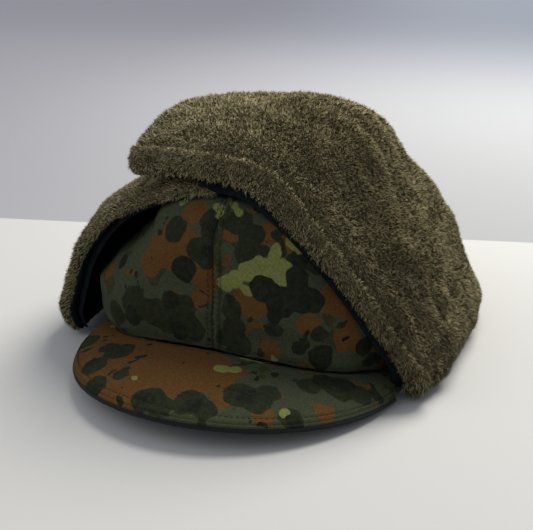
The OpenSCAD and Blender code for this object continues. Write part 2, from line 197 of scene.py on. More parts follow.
def visor_point(turn, share, trim=0.0):
    """Point of the visor's upper face. share runs from 0 at the seam to 1 at the edge."""
    turn, share = np.broadcast_arrays(np.asarray(turn, float), np.asarray(share, float))
    azimuth = turn * VISOR_END
    seam = crown_at(azimuth, edge_height(azimuth), -VISOR_CLEARANCE)
    u = np.radians(turn * VISOR_OUTLINE_END)
    half = VISOR_HALF_WIDTH - trim
    x = half * np.sin(u)
    y = VISOR_CORNER_Y - (CROWN_HALF_LENGTH + VISOR_REACH + VISOR_CORNER_Y - trim) * np.cos(u)
    z = VISOR_CORNER_HEIGHT + VISOR_THICK + VISOR_ARCH * (1 - (x / half) ** 2)
    edge = np.stack([x, y, z], -1)
    point = seam + (edge - seam) * share[..., None]
    point[..., 2] += VISOR_CAMBER * np.sin(np.pi * share)
    return point


# Meshes -----------------------------------------------------------------------------------------

def grid_faces(rows, columns, first=0, closed=False, flip=False):
    """Quads of a grid of points. closed joins the last column to the first."""
    i, j = np.meshgrid(np.arange(rows - 1), np.arange(columns if closed else columns - 1),
                       indexing="ij")
    k = (j + 1) % columns
    quads = np.stack([i * columns + j, i * columns + k, (i + 1) * columns + k,
                      (i + 1) * columns + j], -1).reshape(-1, 4)
    if flip:
        quads = quads[:, ::-1]
    return quads + first


def mesh_object(name, points, faces, materials, slots=None, smooth=True, normals=None):
    """Object from points in mm and faces of four corners. A last corner of -1 makes a triangle."""
    mesh = bpy.data.meshes.new(name)
    mesh.vertices.add(len(points))
    mesh.vertices.foreach_set("co", (np.asarray(points) * MM).astype(np.float32).ravel())
    faces = np.asarray(faces)
    corners = faces.ravel()[faces.ravel() >= 0]
    sizes = (faces >= 0).sum(1)
    mesh.loops.add(len(corners))
    mesh.loops.foreach_set("vertex_index", corners.astype(np.int32))
    mesh.polygons.add(len(faces))
    mesh.polygons.foreach_set("loop_start", (np.cumsum(sizes) - sizes).astype(np.int32))
    mesh.polygons.foreach_set("use_smooth", np.full(len(faces), smooth))
    if slots is not None:
        mesh.polygons.foreach_set("material_index", np.asarray(slots, np.int32))
    mesh.update(calc_edges=True)
    for material in materials:
        mesh.materials.append(material)
    if normals is not None:
        mesh.normals_split_custom_set_from_vertices(normals)
    obj = bpy.data.objects.new(name, mesh)
    bpy.context.collection.objects.link(obj)
    return obj


def slab(outer, inner, closed=False):
    """Points and faces of a closed wall between two grids."""
    rows, columns = outer.shape[:2]
    count = rows * columns
    points = np.concatenate([outer.reshape(-1, 3), inner.reshape(-1, 3)])
    faces = [grid_faces(rows, columns, 0, closed), grid_faces(rows, columns, count, closed, True)]
    for row, flip in ((0, True), (rows - 1, False)):
        a = row * columns + np.arange(columns)
        b = np.roll(a, -1)
        if not closed:
            a, b = a[:-1], b[:-1]
        strip = np.stack([a, b, b + count, a + count], -1)
        faces.append(strip if not flip else strip[:, ::-1])
    if not closed:
        for column, flip in ((0, False), (columns - 1, True)):
            a = np.arange(rows - 1) * columns + column
            strip = np.stack([a, a + columns, a + columns + count, a + count], -1)
            faces.append(strip if not flip else strip[:, ::-1])
    return points, np.concatenate(faces)


def stitches(path, normals, length, pitch, thick, phase=0.0):
    """Small rounded bars laid along a path of points: a row of stitches, as points and faces."""
    rings, sides = 5, 6
    steps = np.linalg.norm(np.diff(path, axis=0), axis=1)
    run = np.concatenate([[0], np.cumsum(steps)])
    starts = np.arange(phase, run[-1] - length, pitch)
    points, faces = [], []
    for start in starts:
        along = np.linspace(start, start + length, rings)
        centre = np.stack([np.interp(along, run, path[:, k]) for k in range(3)], -1)
        normal = unit(np.stack([np.interp(along, run, normals[:, k]) for k in range(3)], -1))
        tangent = unit(np.gradient(centre, axis=0))
        side = np.cross(tangent, normal)
        swell = np.array([0.25, 0.9, 1.0, 0.9, 0.25])[:, None, None] * thick / 2
        lift = np.array([-0.9, 0.1, 0.3, 0.1, -0.9])[:, None] * thick / 2
        angles = np.linspace(0, 2 * np.pi, sides, endpoint=False)
        ring = (np.cos(angles)[None, :, None] * side[:, None]
                + np.sin(angles)[None, :, None] * normal[:, None])
        base = len(points) * rings * sides
        points.append((centre + normal * lift)[:, None] + ring * swell)
        faces.append(grid_faces(rings, sides, base, closed=True))
    return np.concatenate(points).reshape(-1, 3), np.concatenate(faces)


def joined(parts):
    """Several (points, faces) as one."""
    points, faces, count = [], [], 0
    for some_points, some_faces in parts:
        points.append(some_points)
        faces.append(np.where(some_faces >= 0, some_faces + count, -1))
        count += len(some_points)
    return np.concatenate(points), np.concatenate(faces)


# Materials --------------------------------------------------------------------------------------

def linear(red, green, blue):
    """Scene colour from an sRGB colour of 0 to 255."""
    parts = [c / 255 for c in (red, green, blue)]
    return (*[c / 12.92 if c <= 0.04045 else ((c + 0.055) / 1.055) ** 2.4 for c in parts], 1.0)


class Nodes:
    """A material and short names for adding its nodes."""

    def __init__(self, name, roughness=0.9, sheen=0.0):
        self.material = bpy.data.materials.new(name)
        self.material.use_nodes = True
        self.tree = self.material.node_tree
        self.shader = self.tree.nodes["Principled BSDF"]
        self.shader.inputs["Roughness"].default_value = roughness
        self.shader.inputs["Specular IOR Level"].default_value = 0.04
        self.shader.inputs["Sheen Weight"].default_value = sheen
        self.shader.inputs["Sheen Roughness"].default_value = 0.6

    def set(self, socket, value):
        if isinstance(value, bpy.types.NodeSocket):
            self.tree.links.new(value, socket)
        else:
            socket.default_value = value

    def colour(self, value):
        self.set(self.shader.inputs["Base Color"], value)

    def math(self, operation, a, b=0.0, c=0.0):
        node = self.tree.nodes.new("ShaderNodeMath")
        node.operation = operation
        for socket, value in zip(node.inputs, (a, b, c)):
            self.set(socket, value)
        return node.outputs[0]

    def vector(self, operation, a, b=(0, 0, 0), scale=1.0):
        node = self.tree.nodes.new("ShaderNodeVectorMath")
        node.operation = operation
        self.set(node.inputs[0], a)
        self.set(node.inputs[1], b)
        if operation == "SCALE":
            node.inputs["Scale"].default_value = scale
        return node.outputs["Value" if operation in ("DISTANCE", "DOT_PRODUCT") else "Vector"]

    def millimetres(self):
        """The point being shaded, in mm in the part's frame as the piece stands at rest."""
        coordinates = self.tree.nodes.new("ShaderNodeTexCoord")
        return self.vector("SCALE", coordinates.outputs["Object"], scale=1 / MM)

    def noise(self, point, size, detail=2.0, output="Fac"):
        node = self.tree.nodes.new("ShaderNodeTexNoise")
        self.set(node.inputs["Vector"], point)
        node.inputs["Scale"].default_value = 1 / size
        node.inputs["Detail"].default_value = detail
        node.inputs["Roughness"].default_value = 0.5
        return node.outputs[output]

    def step(self, value, low, high):
        node = self.tree.nodes.new("ShaderNodeMapRange")
        node.interpolation_type = "SMOOTHSTEP"
        self.set(node.inputs["Value"], value)
        node.inputs["From Min"].default_value = low
        node.inputs["From Max"].default_value = high
        return node.outputs["Result"]

    def mix(self, share, a, b):
        node = self.tree.nodes.new("ShaderNodeMix")
        node.data_type = "RGBA"
        self.set(node.inputs["Factor"], share)
        self.set(node.inputs["A"], a)
        self.set(node.inputs["B"], b)
        return node.outputs["Result"]

    def bump(self, height, distance):
        node = self.tree.nodes.new("ShaderNodeBump")
        self.set(node.inputs["Height"], height)
        node.inputs["Distance"].default_value = distance * MM
        node.inputs["Strength"].default_value = 1.0
        self.set(self.shader.inputs["Normal"], node.outputs["Normal"])

    def weave(self, point, pitch):
        """Fine diagonal ribs of a twill, which run across x and z."""
        node = self.tree.nodes.new("ShaderNodeTexWave")
        node.bands_direction = "DIAGONAL"
        self.set(node.inputs["Vector"], self.vector("MULTIPLY", point, (1.0, 0.0, 1.0)))
        node.inputs["Scale"].default_value = 0.31 / pitch
        node.inputs["Distortion"].default_value = 0.6
        node.inputs["Detail"].default_value = 1.0
        return node.outputs["Fac"]


def plain(name, colour, roughness=0.9, sheen=0.0, grain=0.0, size=1.0):
    """Material of one colour, with a fine grain in its surface if grain, in mm, isn't 0."""
    nodes = Nodes(name, roughness, sheen)
    nodes.colour(linear(*colour))
    if grain:
        nodes.bump(nodes.noise(nodes.millimetres(), size, 3), grain)
    return nodes.material


def mottled(name, dark, light, size, roughness=0.9):
    """Cloth whose colour drifts a little between two shades, over patches of a size in mm."""
    grain, depth = 0.7, 0.15
    nodes = Nodes(name, roughness)
    point = nodes.millimetres()
    drift = nodes.step(nodes.noise(point, size, 3), 0.35, 0.65)
    nodes.colour(nodes.mix(drift, linear(*dark), linear(*light)))
    weave = nodes.math("MULTIPLY", nodes.weave(point, 1.0), 0.6)
    nodes.bump(nodes.math("ADD", nodes.noise(point, grain, 2), weave), depth)
    return nodes.material


# Camouflage: each layer is a list of round spots, (x, y, z, radius) in mm, that run together,
# and a threshold on a noise that carries the pattern on over the rest of the cloth. The spots
# were picked by eye on the photograph, and another script turned the picks into millimetres.
RUST, OLIVE, GREEN, BLACK, LIME = "rust", "olive", "green", "black", "lime"
CROWN_SPOTS = {
    RUST: [(-34, -99, 76, 8), (-17, -102, 82, 6), (-15, -92, 98, 6), (-28, -98, 87, 5),
           (-4, -103, 70, 4.5), (-4, -103, 62, 5.5), (-7, -104, 53, 4), (-41, -99, 67, 6),
           (-24, -100, 74, 6), (19, -103, 57, 5), (25, -104, 53, 4.5), (26, -95, 91, 5),
           (34, -91, 93, 6), (40, -92, 88, 4.5), (10, -99, 91, 3.6), (67, -81, 65, 6.5),
           (64, -87, 58, 6.5), (74, -76, 61, 5.5), (73, -82, 49, 4.5), (54, -97, 46, 5),
           (71, -88, 37, 5.5), (76, -81, 32, 3.5), (88, -58, 16, 7.5), (84, -70, 29, 4.5),
           (33, -102, 30, 4.5), (-79, -83, 52, 4)],
    GREEN: [(-4, -95, 96, 5), (-2, -100, 89, 4.5), (-8, -102, 80, 5), (-4, -102, 74, 3.4),
            (-25, -98, 89, 5.6), (-19, -104, 45, 7), (-29, -105, 37, 6), (-11, -105, 35, 5.5),
            (-50, -98, 42, 8), (-64, -91, 32, 7), (-36, -102, 40, 7), (12, -94, 96, 5.6),
            (22, -96, 92, 4), (28, -100, 81, 4.5), (19, -102, 82, 4.5), (20, -99, 89, 4),
            (12, -104, 50, 4.6), (14, -105, 40, 4.6), (8, -105, 33, 3.6), (46, -93, 79, 5),
            (54, -88, 75, 3.4), (36, -103, 42, 3.6), (59, -83, 77, 3), (59, -96, 41, 3.6),
            (17, -105, 31, 4.6)],
    BLACK: [(-17, -103, 69, 5.6), (29, -103, 64, 5.6), (39, -102, 58, 6.6), (49, -98, 60, 5.6),
            (55, -94, 59, 4.6), (46, -96, 70, 4.6), (36, -103, 50, 3), (-66, -86, 60, 4),
            (-3, -97, 94, 3.4), (-3, -102, 80, 3.4), (-52, -98, 34, 5), (-26, -104, 49, 4.2),
            (-21, -105, 32, 4.2), (11, -104, 56, 2.4), (79, -79, 31, 4.2), (81, -74, 21, 3.6),
            (60, -96, 27, 5.2), (49, -99, 32, 3), (46, -93, 79, 2.8)],
    LIME: [(8, -103, 64, 3), (14, -103, 68, 3.6), (21, -102, 73, 4), (27, -101, 76, 4),
           (33, -100, 74, 4.4), (39, -97, 74, 3.8), (44, -95, 74, 2.4), (34, -97, 82, 2.6),
           (34, -96, 86, 2), (39, -99, 69, 2.5), (20, -104, 62, 2.4), (28, -102, 70, 3.4),
           (41, -91, 88, 2.8), (46, -90, 85, 2.8), (6, -87, 103, 2.4), (10, -90, 100, 2),
           (-2, -89, 101, 2.4), (0, -92, 98, 1.9), (-26, -85, 100, 2.4), (63, -83, 67, 1.6)],
}
VISOR_SPOTS = {
    RUST: [(-61, -113, 20, 18), (-82, -88, 13, 15), (-26, -128, 24, 20), (0, -131, 24, 17),
           (-24, -150, 20, 13), (-58, -140, 14, 12), (2, -150, 21, 9), (17, -134, 24, 8),
           (21, -124, 24, 6), (-8, -112, 26, 10), (48, -146, 16, 4.5), (73, -125, 13, 4),
           (26, -147, 20, 4.5)],
    GREEN: [(-49, -121, 21, 6.6), (-60, -116, 20, 4), (-58, -134, 17, 6), (-88, -100, 11, 5.4),
            (-80, -104, 12, 5), (-46, -151, 15, 5.4), (-9, -158, 19, 6.6), (0, -161, 18, 5),
            (13, -154, 20, 6.4), (22, -156, 18, 4.8), (33, -139, 21, 6.4), (42, -139, 20, 6.4),
            (45, -131, 21, 4.4), (61, -139, 14, 4.8), (-35, -143, 20, 3.4), (74, -105, 17, 6.6),
            (84, -101, 13, 5), (61, -113, 20, 5)],
    BLACK: [(-61, -131, 17, 3.6), (-11, -158, 19, 3.8), (15, -155, 19, 3.8), (36, -139, 21, 4),
            (62, -140, 14, 2.8), (75, -100, 17, 4.4), (64, -104, 19, 4.4), (-92, -94, 9, 3),
            (-42, -154, 16, 3)],
    LIME: [(15, -123, 25, 2.6), (21, -121, 24, 2.6), (23, -105, 24, 2.6), (19, -106, 24, 2),
           (29, -104, 24, 2), (-79, -81, 15, 2.2), (-60, -92, 20, 2), (-46, -99, 22, 2),
           (57, -138, 16, 2)],
}
PALETTE = {"ground": (54, 58, 41), RUST: (81, 54, 25), OLIVE: (45, 47, 26),
           GREEN: (31, 35, 23), BLACK: (23, 27, 20), LIME: (104, 107, 57)}
# Each layer's colour, the size of its noise in mm, its threshold and its seed.
LAYERS = ((OLIVE, 17.0, 0.53, 11.3), (RUST, 15.0, 0.54, 3.7), (GREEN, 12.0, 0.57, 7.9),
          (LIME, 9.0, 0.665, 5.1), (BLACK, 9.0, 0.60, 1.3))
PLACED_THRESHOLD = 0.12      # added to the thresholds where the spots are
SPOT_SPREAD = 1.35           # how much wider the spots are drawn
SPOT_BLEND = 3               # how far apart spots run together, in mm
WARP = 5.5                   # how far the outlines wander, in mm
FADE, FADE_COLOUR = 0.10, (96, 86, 60)
GRAIN, GRAIN_COLOUR = 0.30, (12, 12, 9)


def camouflage(name, spots, placed_from):
    """Printed twill. Behind placed_from, a y in mm, the pattern is left to the noise alone."""
    nodes = Nodes(name, 0.95)
    point = nodes.millimetres()
    shift = nodes.vector("SUBTRACT", nodes.noise(point, 9.0, 1.5, "Color"), (0.5, 0.5, 0.5))
    warped = nodes.vector("ADD", point, nodes.vector("SCALE", shift, scale=WARP))
    split = nodes.tree.nodes.new("ShaderNodeSeparateXYZ")
    nodes.set(split.inputs[0], point)
    placed = nodes.step(split.outputs["Y"], placed_from + 8, placed_from - 8)
    colour = linear(*PALETTE["ground"])
    for layer, size, threshold, seed in LAYERS:
        moved = nodes.vector("ADD", warped, (seed * 31, seed * 17, seed * 7))
        field = nodes.noise(moved, size, 1.0)
        floor = nodes.math("MULTIPLY_ADD", placed, PLACED_THRESHOLD, threshold)
        mask = nodes.step(nodes.math("SUBTRACT", field, floor), -0.004, 0.004)
        nearest = nearest_spot(nodes, warped, spots.get(layer, ()))
        if nearest is not None:
            mask = nodes.math("MAXIMUM", mask, nodes.step(nearest, 0.35, -0.35))
        colour = nodes.mix(mask, colour, linear(*PALETTE[layer]))
    nodes.colour(worn_print(nodes, point, colour))
    height = nodes.math("MULTIPLY_ADD", nodes.weave(point, 0.75), 0.15, nodes.noise(point, 1.1, 3))
    nodes.bump(height, 0.22)
    return nodes.material


def nearest_spot(nodes, point, spots):
    """Distance in mm to the edge of the nearest spot, or None where a layer has no spots."""
    nearest = None
    for x, y, z, radius in spots:
        distance = nodes.vector("DISTANCE", point, (x, y, z))
        distance = nodes.math("SUBTRACT", distance, radius * SPOT_SPREAD)
        if nearest is None:
            nearest = distance
        else:
            nearest = nodes.math("SMOOTH_MIN", nearest, distance, SPOT_BLEND)
    return nearest


def worn_print(nodes, point, colour):
    """The print a little faded in patches, with the fine dark grain of the cloth over it."""
    fade = nodes.step(nodes.noise(point, 3.0, 4), 0.3, 0.75)
    colour = nodes.mix(nodes.math("MULTIPLY", fade, FADE), colour, linear(*FADE_COLOUR))
    grain = nodes.step(nodes.noise(point, 0.9, 2), 0.35, 0.65)
    return nodes.mix(nodes.math("MULTIPLY", grain, GRAIN), colour, linear(*GRAIN_COLOUR))


def fur_skin_material():
    nodes = Nodes("fur ground and painted shade", 1.0)
    point = nodes.millimetres()
    shade = nodes.step(nodes.noise(point, 4.0, 4), 0.3, 0.7)
    # The ground is darker than the pile: partly the fabric's own colour and partly painted shade
    # between the blades.
    nodes.colour(nodes.mix(shade, linear(76, 68, 45), linear(98, 89, 60)))
    nodes.bump(nodes.noise(point, 1.2, 3), 0.8)
    return nodes.material


PILE_COLOURS = {"pile root": (108, 99, 73), "pile dark": (124, 114, 84),
                "pile middle": (138, 128, 95), "pile light": (147, 137, 102),
                "pile tip": (156, 145, 109), "pile pale": (168, 157, 119)}


def pile_materials():
    return [plain(name, colour, 1.0) for name, colour in PILE_COLOURS.items()]


# Crown ------------------------------------------------------------------------------------------

def crown_relief(azimuth, points):
    """How far the cloth of the crown stands off its plain shape, in mm."""
    a = np.where(azimuth > 180, azimuth - 360, azimuth)
    x, z = points[..., 0], points[..., 2]
    relief = 0.8 + 0.75 * ripple(points * [1, 1, 1.7], 34, 4) + 0.3 * ripple(points, 12, 5)
    across = np.abs(x)
    relief -= 1.2 * np.exp(-(across / 3.0) ** 2) * (z < CROWN_HEIGHT - 4)
    pucker = np.sin(z / 2.6 + 2.0 * np.sin(z / 9)) * np.exp(-np.abs(across - 5) / 5)
    relief += 0.28 * pucker
    side_seam = np.abs(np.abs(a) - SIDE_SEAM)
    relief -= 1.0 * np.exp(-(side_seam / 1.6) ** 2)
    lower = z - edge_height(azimuth)
    relief -= 0.9 * np.exp(-(lower / 3.5) ** 2)
    return np.maximum(relief, -0.9)


def crown_surface(azimuth, level, offset=0.0):
    bare = crown_point(azimuth, level)
    outward = unit(bare - np.array([0, 0, 20.0]))
    azimuth = np.broadcast_to(azimuth, bare.shape[:-1])
    return bare + outward * (crown_relief(azimuth, bare) + offset)[..., None]


def crown_panels(cloth):
    seam = 0.12
    levels = np.concatenate([np.linspace(-1, 0, 44)[:-1], np.linspace(0, 0.5, 46)])[:, None]
    spans = {"crown_panel_front_left": (seam, SIDE_SEAM - seam, 150),
             "crown_panel_front_right": (360 - SIDE_SEAM + seam, 360 - seam, 150),
             "crown_panel_back_left": (SIDE_SEAM + seam, 180 - seam, 110),
             "crown_panel_back_right": (180 + seam, 360 - SIDE_SEAM - seam, 110)}
    for name, (first, last, count) in spans.items():
        panel(name, np.linspace(first, last, count)[None], levels, cloth)
    azimuths = np.arange(0, 360, 2.0)[None]
    top_levels = np.linspace(0.505, 0.995, 30)[:, None]
    panel("crown_top_panel", azimuths, top_levels, cloth, True)


def panel(name, azimuths, levels, cloth, closed=False):
    outer = crown_surface(azimuths, levels)
    inner = crown_surface(azimuths, levels, -CLOTH)
    points, faces = slab(outer, inner, closed)
    obj = mesh_object(name + "_cloth", points, faces, [cloth])
    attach(obj, "crown")
    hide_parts(name)


def front_seam(cloth, thread):
    """Felled seam up the middle of the front, with a row of stitches along each side."""
    levels = np.concatenate([np.linspace(-0.93, 0, 60)[:-1], np.linspace(0, 0.62, 60)])[:, None]
    across = np.array([0.2, 0.7, 1.2, 2.4, 3.6, 4.1, 4.6])
    rise = np.array([-0.6, 0.9, 1.15, 1.1, 1.15, 0.9, -0.6])
    azimuths = np.degrees(np.arcsin(across / CROWN_HALF_LENGTH))[None]
    wander = 0.35 * np.sin(levels * 23)
    outer = crown_surface(azimuths + wander * 0.3, levels, 0.5)
    outward = unit(outer - np.array([0, 0, 20.0]))
    outer = outer + outward * rise[None, :, None]
    points, faces = slab(outer, outer - outward * 0.8)
    strip = mesh_object("crown_front_seam_cloth", points, faces, [cloth])
    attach(strip, "crown")
    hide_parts("crown_front_seam_strip")
    rows = [stitches(outer[:, column] + outward[:, column] * 0.15, outward[:, column],
                     2.2, 3.1, 0.55, 0.8) for column in (2, 4)]
    rows.append(stitches(crown_surface(np.full(119, -1.6), levels[:, 0], 0.15),
                         outward[:, 0], 2.2, 3.1, 0.5))
    sewn = mesh_object("crown_front_seam_stitches", *joined(rows), [thread])
    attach(sewn, "crown")


def lining(material):
    """Quilted lining, smooth but for the dimples along its rows of quilting."""
    levels = np.concatenate([np.linspace(-0.98, 0, 40)[:-1], np.linspace(0, 0.995, 60)])[:, None]
    azimuths = np.arange(0, 360, 1.5)[None]
    inner = crown_point(azimuths, levels, LINING_DEPTH + LINING)
    outer = crown_point(azimuths, levels, LINING_DEPTH)
    outward = unit(inner - np.array([0, 0, 20.0]))
    diamond = np.minimum(np.abs(np.sin(np.radians(azimuths) * 9 + levels * 5.5)),
                         np.abs(np.sin(np.radians(azimuths) * 9 - levels * 5.5)))
    dimple = 0.8 * np.exp(-(diamond / 0.16) ** 2)
    points, faces = slab(outer, inner + outward * dimple[..., None] * 0.9, True)
    obj = mesh_object("crown_lining_quilted", points, faces, [material])
    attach(obj, "crown")
    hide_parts("crown_lining", "crown_wadding")


def sweatband(material, thread):
    azimuths = np.arange(-180, 180, 1.5)
    shares = np.linspace(0, 1, 14)[:, None]
    low = np.maximum(edge_height(azimuths), RIM_HEIGHT)
    height = low + (SWEATBAND_TOP - low) * shares
    outer = crown_at(azimuths[None], height, SWEATBAND_DEPTH)
    swell = 0.35 * np.sin(np.radians(azimuths) * 46)[None] * np.sin(np.pi * shares)
    inner = crown_at(azimuths[None], height, SWEATBAND_DEPTH + SWEATBAND_WALL + swell * 0.4)
    obj = mesh_object("sweatband_cloth", *slab(outer, inner, True), [material])
    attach(obj, "crown")
    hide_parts("sweatband")
    rows = []
    for row in (1, 12):
        path = np.concatenate([inner[row], inner[row, :1]])
        inward = unit(path * [-1, -1, 0])
        rows.append(stitches(path + inward * 0.1, inward, 2.4, 3.6, 0.5))
    sewn = mesh_object("sweatband_stitches", *joined(rows), [thread])
    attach(sewn, "crown")


def rim_binding(material):
    """Bias binding folded round the lower edge, from one end of the visor round the back."""
    azimuths = np.linspace(VISOR_END + 12, 360 - VISOR_END - 12, 200)
    profile = [(-0.6, 4.2), (-0.9, 3.2), (-1.0, 1.8), (-0.6, 0.6), (0.8, 0.1), (3.2, 0.05),
               (5.2, 0.3), (6.0, 1.2), (6.1, 2.6), (6.1, 4.2)]
    proudest = 0.6            # beyond this the profile is laid out from the crown's surface
    rows = []
    for depth, z in profile:
        at = crown_at(azimuths, np.full(azimuths.shape, RIM_HEIGHT), max(depth, -proudest))
        at = at + unit(at * [1, 1, 0]) * max(-(depth + proudest), 0)
        at[:, 2] = z
        rows.append(at)
    ring = np.stack(rows)
    obj = mesh_object("rim_binding_tape", ring.reshape(-1, 3),
                      grid_faces(len(profile), len(azimuths)), [material])
    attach(obj, "crown")
    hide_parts("rim_binding")


def paint(names, material):
    """Give CAD nodes that are shown as they are their material."""
    for name in names:
        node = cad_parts[name]
        node.data.materials.clear()
        node.data.materials.append(material)


# Visor ------------------------------------------------------------------------------------------

def visor_grid(turns, shares, trim=0.0, drop=0.0):
    points = visor_point(turns[None], shares[:, None], trim)
    sag = 0.35 * ripple(points, 38, 9) * np.sin(np.pi * shares)[:, None]
    points[..., 2] += sag - drop
    return points


def visor_top(cloth, thread):
    """The upper cover, drawn down a little along its row of topstitching."""
    turns = np.linspace(-1, 1, 220)
    shares = np.concatenate([np.linspace(0, 0.86, 70)[:-1], np.linspace(0.86, 1, 30)])
    top = visor_grid(turns, shares, 0.6)
    topstitch = 5.0           # distance of the topstitching from the edge
    from_edge = (1 - shares) * VISOR_REACH
    relief = (-0.55 * np.exp(-((from_edge - topstitch) / 1.0) ** 2)
              + 0.35 * np.exp(-((from_edge - 2.4) / 1.6) ** 2)
              - 1.3 * np.clip(1 - from_edge / 1.6, 0, 1) ** 2
              - 0.8 * np.exp(-(shares * VISOR_REACH / 3.0) ** 2))
    top[..., 2] += relief[:, None]
    pucker = 0.10 * np.sin(turns * 150 + 3 * np.sin(turns * 17))
    top[..., 2] += pucker[None] * np.exp(-((from_edge - topstitch) / 3.0) ** 2)[:, None]
    low = top.copy()
    low[..., 2] -= 1.0
    obj = mesh_object("visor_top_cloth", *slab(low, top), [cloth])
    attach(obj, "visor")
    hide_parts("visor_top_cover")
    row = np.argmin(np.abs(from_edge - topstitch))
    up = np.tile([0.0, 0.0, 1.0], (len(turns), 1))
    row_of_stitches = stitches(top[row] + [0, 0, 0.12], up, 2.0, 2.9, 0.5)
    sewn = mesh_object("visor_top_stitches", *row_of_stitches, [thread])
    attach(sewn, "visor")


def visor_rim(cloth, binding):
    """The edge: a narrow band of the print over a binding that stands a little proud, dark as
    painted shade under the visor's edge.
    """
    turns = np.linspace(-1, 1, 240)
    profile = [(1.0, 0.7), (0.35, 0.85), (0.0, 1.3), (-0.1, 2.0), (0.1, 2.6), (0.7, 2.8)]
    band = rim_rows(turns, profile)
    obj = mesh_object("visor_edge_print", band.reshape(-1, 3),
                      grid_faces(len(profile), len(turns), flip=True), [cloth])
    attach(obj, "visor")
    profile = [(1.0, 2.5), (0.0, 2.5), (-0.55, 2.9), (-0.75, 3.7), (-0.6, 4.5), (0.1, 5.1),
               (1.6, 5.3), (3.2, 5.2), (3.4, 4.8)]
    bound = rim_rows(turns, profile)
    obj = mesh_object("visor_edge_tape", bound.reshape(-1, 3),
                      grid_faces(len(profile), len(turns), flip=True), [binding])
    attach(obj, "visor")
    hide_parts("visor_edge_binding")


def rim_rows(turns, profile):
    rows = []
    for trim, drop in profile:
        row = visor_point(turns, np.ones(turns.shape), trim)
        row[:, 2] -= drop
        rows.append(row)
    return np.stack(rows)


def visor_under(material, thread):
    turns = np.linspace(-1, 1, 160)
    shares = np.linspace(0, 1, 60)
    face = visor_grid(turns, shares, 2.5, VISOR_THICK)
    rings = np.abs(np.sin(shares * np.pi * 6))
    face[..., 2] += 0.3 * np.exp(-(rings / 0.2) ** 2)[:, None]
    above = face.copy()
    above[..., 2] += 0.7
    obj = mesh_object("visor_under_cloth", *slab(face, above), [material])
    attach(obj, "visor")
    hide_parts("visor_under_cover")
    down = np.tile([0.0, 0.0, -1.0], (len(turns), 1))
    rows = [stitches(face[row] - [0, 0, 0.12], down, 2.2, 3.3, 0.45)
            for row in range(10, 58, 10)]
    sewn = mesh_object("visor_under_stitches", *joined(rows), [thread])
    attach(sewn, "visor")


# Fur flaps --------------------------------------------------------------------------------------

PILE_TOP, PILE_FOOT = 3.2, 12.6      # depths of the fur's ground and of the flap's inner face
EDGE_ROUND = 6.0
# The lip is a dark strip of backing put in the gap under the fur's front edge as painted shadow.
SHADOW_LIP = -1.0                           # where the backing's lip ends; higher shows more of it
EDGE_OFFSETS = np.array([0, 0.15, 0.5, 1.0, 1.7, 2.6, 3.7, 5.0, 6.4, 8.0])
GROOVE_AT, GROOVE_DEPTH = 8.5, 4.4   # the sewn groove along the left flap's front edge
RIGHT_GROOVES = (8.0, 16.0, 24.0)    # the same along the right flap's, three of them
RIGHT_GAIN_LOSS = 9                  # how much less the right flap's edge comes forward on top

# The left flap's creases: points along each, then its depth and its half width, in mm. Most of
# the points were picked by eye on the photograph and turned into millimetres by another script.
LEFT_CREASES = (
    (((80, 34, 96), (83, 20, 87), (93, -14, 73), (101, -38, 55), (108, -40, 37), (112, -50, 24),
      (112, -65, 14)), 6.0, 4.4),
    (((94, 45, 65), (104, 35, 48), (109, 7, 40), (109, -32, 36)), 5.5, 4.0),
    (((89, -79, 59), (98, -76, 44), (104, -76, 31), (108, -79, 20)), 2.6, 2.4),
    (((93, -51, 67), (102, -50, 48), (108, -51, 34)), 2.6, 2.8),
    (((28, -15, 144), (46, -15, 138), (61, -13, 122), (73, -14, 100), (84, -34, 84)), 2.6, 6.0),
)
# A line through the pile along which it is painted darker, as painted shade.
PAINTED_SHADE_BAND = ((40, -40, 138), (65, -50, 108), (80, -44, 86), (90, -60, 66), (100, -72, 40))


def front_edge(z, side):
    """How far back the front edge of an ear flap is at a height: a y in mm."""
    gain = FLAP_FRONT_GAIN if side > 0 else FLAP_FRONT_GAIN - RIGHT_GAIN_LOSS
    share = np.clip((z - FOOT) / (SHOULDER - FOOT), 0, 1)
    return -FLAP_FRONT - gain * np.sin(np.pi / 2 * share)


def ear_rays(side):
    """Rows of rays up an ear flap and over its tip: start x, z, direction x, z, front, rear."""
    tip_front_gain = 10 if side > 0 else 8
    rows = []
    for z in np.linspace(FOOT, SHOULDER, 80):
        rear = FLAP_REAR - 28 * ease((z - 78) / 20)
        rows.append((0, z, side, 0, front_edge(z, side), rear))
    reach = TIP_REACH if side > 0 else -RIGHT_TIP_SHORTFALL
    fan = [(0, angle) for angle in np.linspace(2, 70, 60)]
    flats = [(x, None) for x in np.linspace(10, -reach, 60)]
    for i, (x, angle) in enumerate(fan + flats):
        share = min(i / 60, 1) / 2 + max(0, i - 60) / 60 / 2
        share = share * (1 if side > 0 else 0.55)
        turned = 90 if angle is None else angle
        direction = (side * math.cos(math.radians(turned)) * 0.85,
                     math.sin(math.radians(turned)) * 0.5)
        front = front_edge(SHOULDER, side) + tip_front_gain * share
        rear = 44 + (-8 - 44) * share ** 0.8
        rows.append((side * x, SHOULDER + BODY_GAP, *direction, front, rear))
    return np.array(rows)


def neck_rays():
    """Rows of the neck flap. Only their heights count: surface() works out the rest."""
    return np.array([(0, z, 0, 0, -1, 1) for z in np.linspace(FOOT, NECK_TOP, 80)])


def spread(length, middle):
    """Distances across a strip, closer together near its two edges."""
    last = EDGE_OFFSETS[-1]
    inside = last + (length - 2 * last) * np.linspace(0, 1, middle + 2)[1:-1]
    return np.concatenate([EDGE_OFFSETS, inside, length - EDGE_OFFSETS[::-1]])


